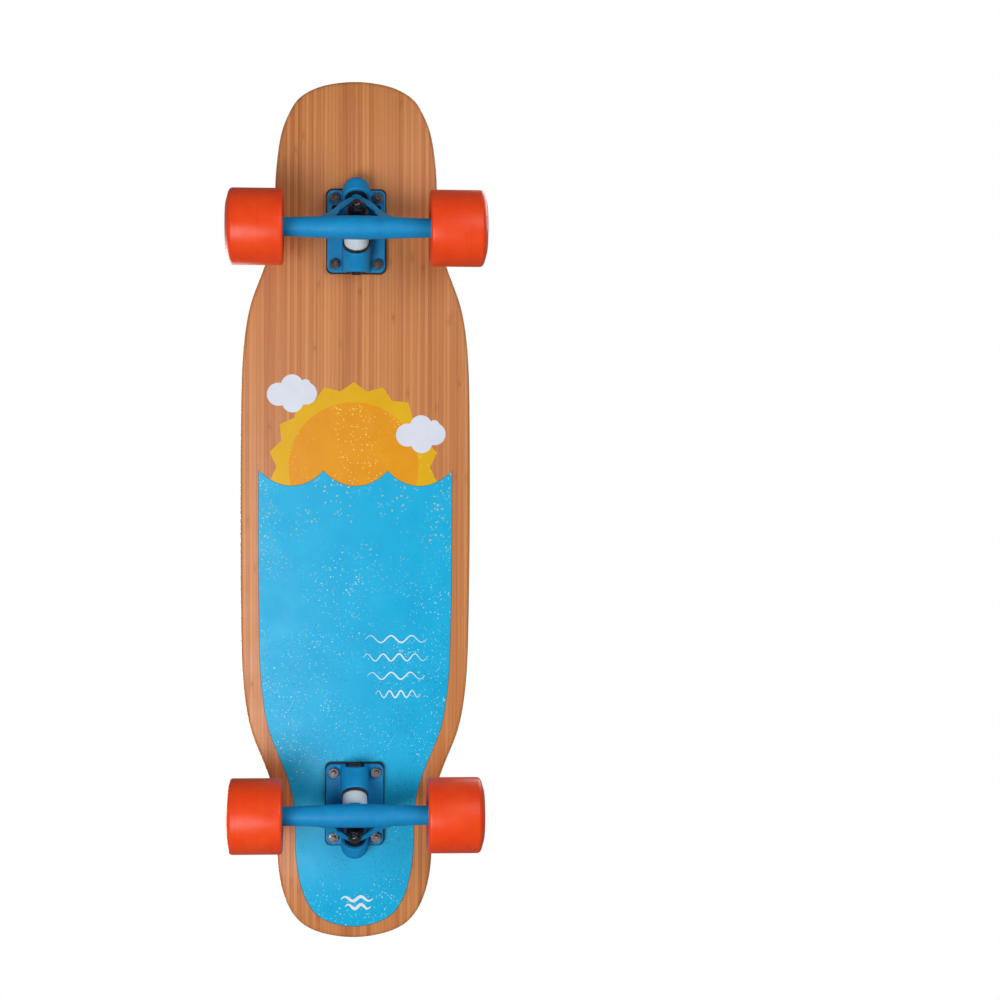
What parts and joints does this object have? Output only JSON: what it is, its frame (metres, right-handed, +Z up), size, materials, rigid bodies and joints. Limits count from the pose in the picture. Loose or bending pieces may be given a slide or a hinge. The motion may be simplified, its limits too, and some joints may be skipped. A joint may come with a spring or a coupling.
{
  "type": "longboard skateboard",
  "caption": "Short longboard with a laminated kicked deck, sprung-bushing steering trucks, ball-bearing wheels and a die-cut grip sheet.",
  "frame": {"origin": "on the floor, below the middle of the deck's length and width", "axes": "+X towards the nose, +Y to a forward-facing rider's left, +Z up"},
  "size_m": [0.838, 0.245, 0.1283],
  "materials": {
    "bamboo": "clear-lacquered bamboo face veneer with fine strips",
    "core_ply": "maple and bamboo core plies, sealed edges",
    "grip": "abrasive grip sheet, blue with fine sparkle",
    "badge": "abrasive grip disc with a printed rope and anchor picture",
    "riser": "soft black pad",
    "blue_casting": "satin blue powder coat on cast aluminium",
    "pivot_plastic": "black urethane cup",
    "black_steel": "black oxide steel",
    "zinc_steel": "bright zinc-plated steel",
    "bushing": "white urethane",
    "tyre_urethane": "smooth orange urethane",
    "core_plastic": "off-white moulded hub core",
    "bearing_steel": "ground bearing steel",
    "cage_plastic": "dark moulded ball cage",
    "bearing_shield": "dark pressed bearing shield"
  },
  "bodies": {
    "deck": {"deck_bottom_ply": "bamboo", "deck_core_plies": "core_ply", "deck_top_ply": "bamboo", "grip_sheet": "grip", "deck_badge": "badge", "mounting_bolts": "black_steel", "mounting_nuts": "black_steel", "front_riser_pad": "riser", "front_baseplate": "blue_casting", "front_pivot_bush": "pivot_plastic", "front_kingpin": "black_steel", "front_kingpin_nut": "black_steel", "front_cup_washers": "black_steel", "front_board_bushing": "bushing", "front_road_bushing": "bushing", "rear_riser_pad": "riser", "rear_baseplate": "blue_casting", "rear_pivot_bush": "pivot_plastic", "rear_kingpin": "black_steel", "rear_kingpin_nut": "black_steel", "rear_cup_washers": "black_steel", "rear_board_bushing": "bushing", "rear_road_bushing": "bushing"},
    "front_hanger": {"front_hanger": "blue_casting", "front_axle": "zinc_steel", "front_speed_washers": "zinc_steel", "front_axle_nuts": "zinc_steel", "front_bearing_inner_races": "bearing_steel", "front_bearing_spacers": "zinc_steel"},
    "front_left_wheel": {"front_left_tyre": "tyre_urethane", "front_left_core": "core_plastic", "front_left_outer_races": "bearing_steel", "front_left_balls": "bearing_steel", "front_left_cages": "cage_plastic", "front_left_shields": "bearing_shield"},
    "front_right_wheel": {"front_right_tyre": "tyre_urethane", "front_right_core": "core_plastic", "front_right_outer_races": "bearing_steel", "front_right_balls": "bearing_steel", "front_right_cages": "cage_plastic", "front_right_shields": "bearing_shield"},
    "rear_hanger": {"rear_hanger": "blue_casting", "rear_axle": "zinc_steel", "rear_speed_washers": "zinc_steel", "rear_axle_nuts": "zinc_steel", "rear_bearing_inner_races": "bearing_steel", "rear_bearing_spacers": "zinc_steel"},
    "rear_left_wheel": {"rear_left_tyre": "tyre_urethane", "rear_left_core": "core_plastic", "rear_left_outer_races": "bearing_steel", "rear_left_balls": "bearing_steel", "rear_left_cages": "cage_plastic", "rear_left_shields": "bearing_shield"},
    "rear_right_wheel": {"rear_right_tyre": "tyre_urethane", "rear_right_core": "core_plastic", "rear_right_outer_races": "bearing_steel", "rear_right_balls": "bearing_steel", "rear_right_cages": "cage_plastic", "rear_right_shields": "bearing_shield"}
  },
  "joints": [
    {"name": "front_steer", "type": "hinge", "parent": "deck", "child": "front_hanger", "pos_m": [0.27407, 0, 0.05822], "axis": [0.7784, 0, 0.6277], "range_deg": [-15, 15], "stiffness_Nm_per_rad": 70, "deforming": ["front_board_bushing", "front_road_bushing"]},
    {"name": "front_left_spin", "type": "hinge", "parent": "front_hanger", "child": "front_left_wheel", "pos_m": [0.273, 0, 0.036], "axis": [0, 1, 0], "continuous": true},
    {"name": "front_right_spin", "type": "hinge", "parent": "front_hanger", "child": "front_right_wheel", "pos_m": [0.273, 0, 0.036], "axis": [0, 1, 0], "continuous": true},
    {"name": "rear_steer", "type": "hinge", "parent": "deck", "child": "rear_hanger", "pos_m": [-0.28407, 0, 0.05822], "axis": [-0.7784, 0, 0.6277], "range_deg": [-15, 15], "stiffness_Nm_per_rad": 70, "deforming": ["rear_board_bushing", "rear_road_bushing"]},
    {"name": "rear_left_spin", "type": "hinge", "parent": "rear_hanger", "child": "rear_left_wheel", "pos_m": [-0.283, 0, 0.036], "axis": [0, 1, 0], "continuous": true},
    {"name": "rear_right_spin", "type": "hinge", "parent": "rear_hanger", "child": "rear_right_wheel", "pos_m": [-0.283, 0, 0.036], "axis": [0, 1, 0], "continuous": true}
  ]
}
